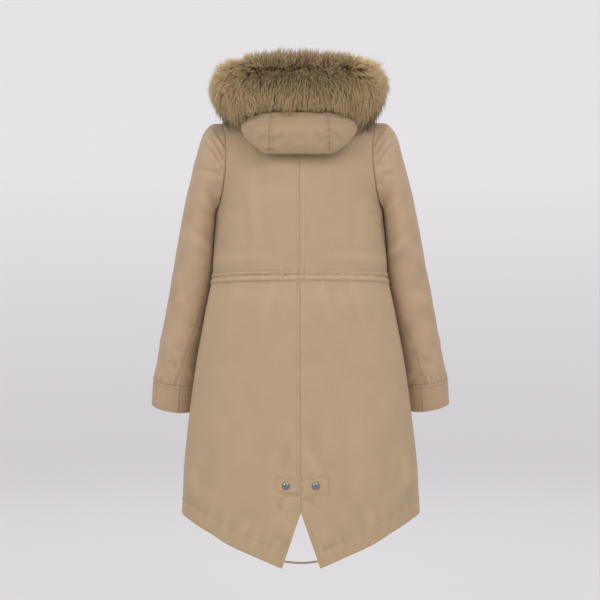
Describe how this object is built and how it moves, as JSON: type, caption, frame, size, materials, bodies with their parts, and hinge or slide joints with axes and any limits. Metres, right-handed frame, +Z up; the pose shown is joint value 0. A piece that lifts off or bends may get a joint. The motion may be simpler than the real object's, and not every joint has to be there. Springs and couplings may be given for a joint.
{
  "type": "fur trimmed parka",
  "caption": "Long fishtail parka hanging as worn, hood down with a deep fur trim, waist drawcord tunnel, long sleeves with cuffs, split back tail with press studs and a hem cord.",
  "frame": {"origin": "midway between the two points where the shoulder seams meet the neckline, where the wearer's shoulders carry the coat", "axes": "+Z up, -Y is the wearer's front, +X is the wearer's left"},
  "size_m": [0.7162, 0.395, 1.1689],
  "materials": {
    "canvas": "matte cotton canvas",
    "fur": "long pile fur, dark at the roots and pale at the tips",
    "cord": "braided cord",
    "nickel": "polished nickel plate"
  },
  "bodies": {
    "root": {"back_left": "canvas", "back_right": "canvas", "cuff_left": "canvas", "cuff_right": "canvas", "front_flap": "canvas", "front_left": "canvas", "front_right": "canvas", "front_stud_1": "nickel", "front_stud_2": "nickel", "front_stud_3": "nickel", "front_stud_4": "nickel", "front_stud_5": "nickel", "front_stud_6": "nickel", "fur_trim": "fur", "hem_cord": "cord", "hood_centre": "canvas", "hood_left": "canvas", "hood_right": "canvas", "under_sleeve_left": "canvas", "under_sleeve_right": "canvas", "upper_sleeve_left": "canvas", "upper_sleeve_right": "canvas", "vent_stud_left": "nickel", "vent_stud_right": "nickel", "waist_tunnel_back": "canvas", "waist_tunnel_front_left": "canvas", "waist_tunnel_front_right": "canvas"}
  },
  "joints": []
}
